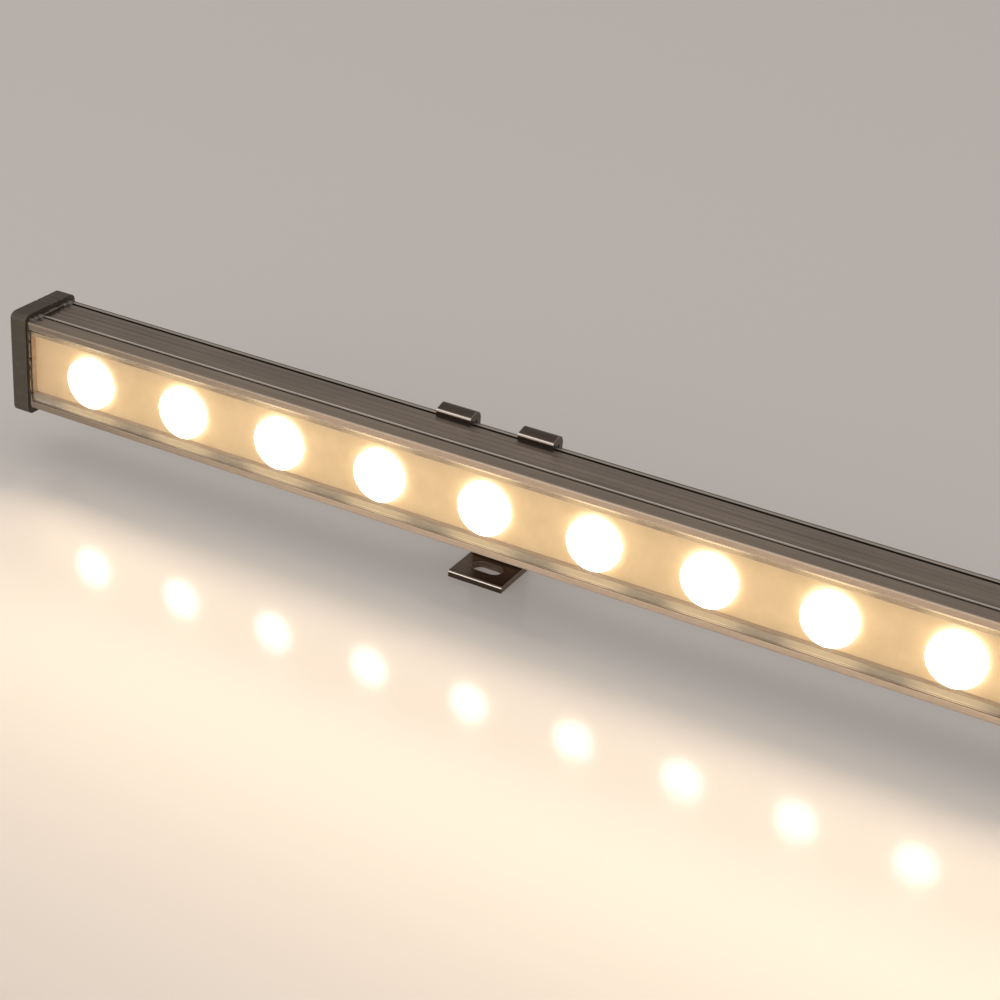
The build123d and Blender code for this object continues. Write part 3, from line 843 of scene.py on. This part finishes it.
make_cover_seal("upper_cover_seal", FINISHES["silicone"])
make_cover_seal("lower_cover_seal", LOWER_SEAL)
for side, sign, seed in (("left", -1, 4), ("right", 1, 9)):
    make_cap_sealant(side, sign, seed)
    make_cap_screws(side, sign)
    make_hinge_screw(side)


def aim_camera():
    """Camera at the photograph's place, turned by yaw, pitch and roll."""
    forward = Vector((
        math.sin(CAMERA_YAW) * math.cos(CAMERA_PITCH),
        math.cos(CAMERA_YAW) * math.cos(CAMERA_PITCH),
        -math.sin(CAMERA_PITCH),
    ))
    level = Vector((math.cos(CAMERA_YAW), -math.sin(CAMERA_YAW), 0))
    rise = level.cross(forward)
    right = level * math.cos(CAMERA_ROLL) + rise * math.sin(CAMERA_ROLL)
    up = rise * math.cos(CAMERA_ROLL) - level * math.sin(CAMERA_ROLL)
    camera = bpy.data.objects.new("camera", bpy.data.cameras.new("camera"))
    camera.data.lens = CAMERA_LENS
    camera.data.sensor_width = 36.0
    camera.data.clip_start = 0.01
    turned = Matrix((right, up, -forward)).transposed().to_4x4()
    camera.matrix_world = Matrix.Translation(CAMERA_PLACE) @ turned
    bpy.context.collection.objects.link(camera)
    bpy.context.scene.camera = camera


def area_lamp(name, place, target, size, power, colour, spread=180):
    """Soft rectangular lamp aimed at a point, with its spread in degrees."""
    lamp = bpy.data.lights.new(name, "AREA")
    lamp.shape = "RECTANGLE"
    lamp.size, lamp.size_y = size
    lamp.energy = power
    lamp.color = colour
    lamp.spread = math.radians(spread)
    holder = bpy.data.objects.new(name, lamp)
    aim = (Vector(target) - Vector(place)).to_track_quat("-Z", "Y").to_matrix().to_4x4()
    holder.matrix_world = Matrix.Translation(place) @ aim
    holder.visible_camera = False
    bpy.context.collection.objects.link(holder)
    return holder


def lay_table():
    """Pale glossy table, lifted towards the photograph's tone where it is seen, with its shadows kept."""
    bm = bmesh.new()
    bmesh.ops.create_grid(bm, x_segments=1, y_segments=1, size=4.0)
    floor = new_object("floor", bm)
    material, graph, shader = new_finish("floor", Base_Color=TABLE_COLOUR, IOR=1.5, Emission_Strength=1.0)
    cloud = graph.noise(graph.place(), 4.0, 3.0, 0.5)
    graph.feed(graph.span(cloud, 0.3, 0.7, 0.10, 0.13), shader["Roughness"])
    rays = graph.rays()
    mirrored = graph.larger(rays["Is Glossy Ray"], rays["Is Transmission Ray"])
    seen = graph.larger(rays["Is Camera Ray"], mirrored)
    graph.feed(graph.mix(seen, UNLIT, TABLE_LIFT), shader["Emission Color"])
    dress(floor, material)


def light_stage():
    """Even backdrop, soft light from above and from the front, and the beam of the light itself."""
    world = bpy.context.scene.world or bpy.data.worlds.new("world")
    bpy.context.scene.world = world
    world.use_nodes = True
    background = world.node_tree.nodes["Background"].inputs
    background["Color"].default_value = BACKDROP
    background["Strength"].default_value = 1.0
    area_lamp("softbox", (-0.25, -0.15, 1.5), (-0.1, 0, 0), (2.2, 2.2), 8.0, (1.0, 0.97, 0.94))
    area_lamp("front_fill", (-0.1, -1.8, 0.65), (0, 0, 0.02), (5.0, 1.1), 34.0, (1.0, 0.96, 0.92))
    beam_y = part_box("front_cover")[0][1] - BEAM_GAP
    place = (0, beam_y, FIRST_LENS.z)
    ahead = (0, beam_y - 1, FIRST_LENS.z)
    for name, power, spread in BEAM_LAMPS:
        lamp = area_lamp(name, place, ahead, BEAM_SIZE, power, BEAM_COLOUR, spread)
        lamp.visible_glossy = False
        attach(lamp, "bar")
    bpy.context.scene.view_settings.view_transform = "Standard"


lay_table()
light_stage()
aim_camera()
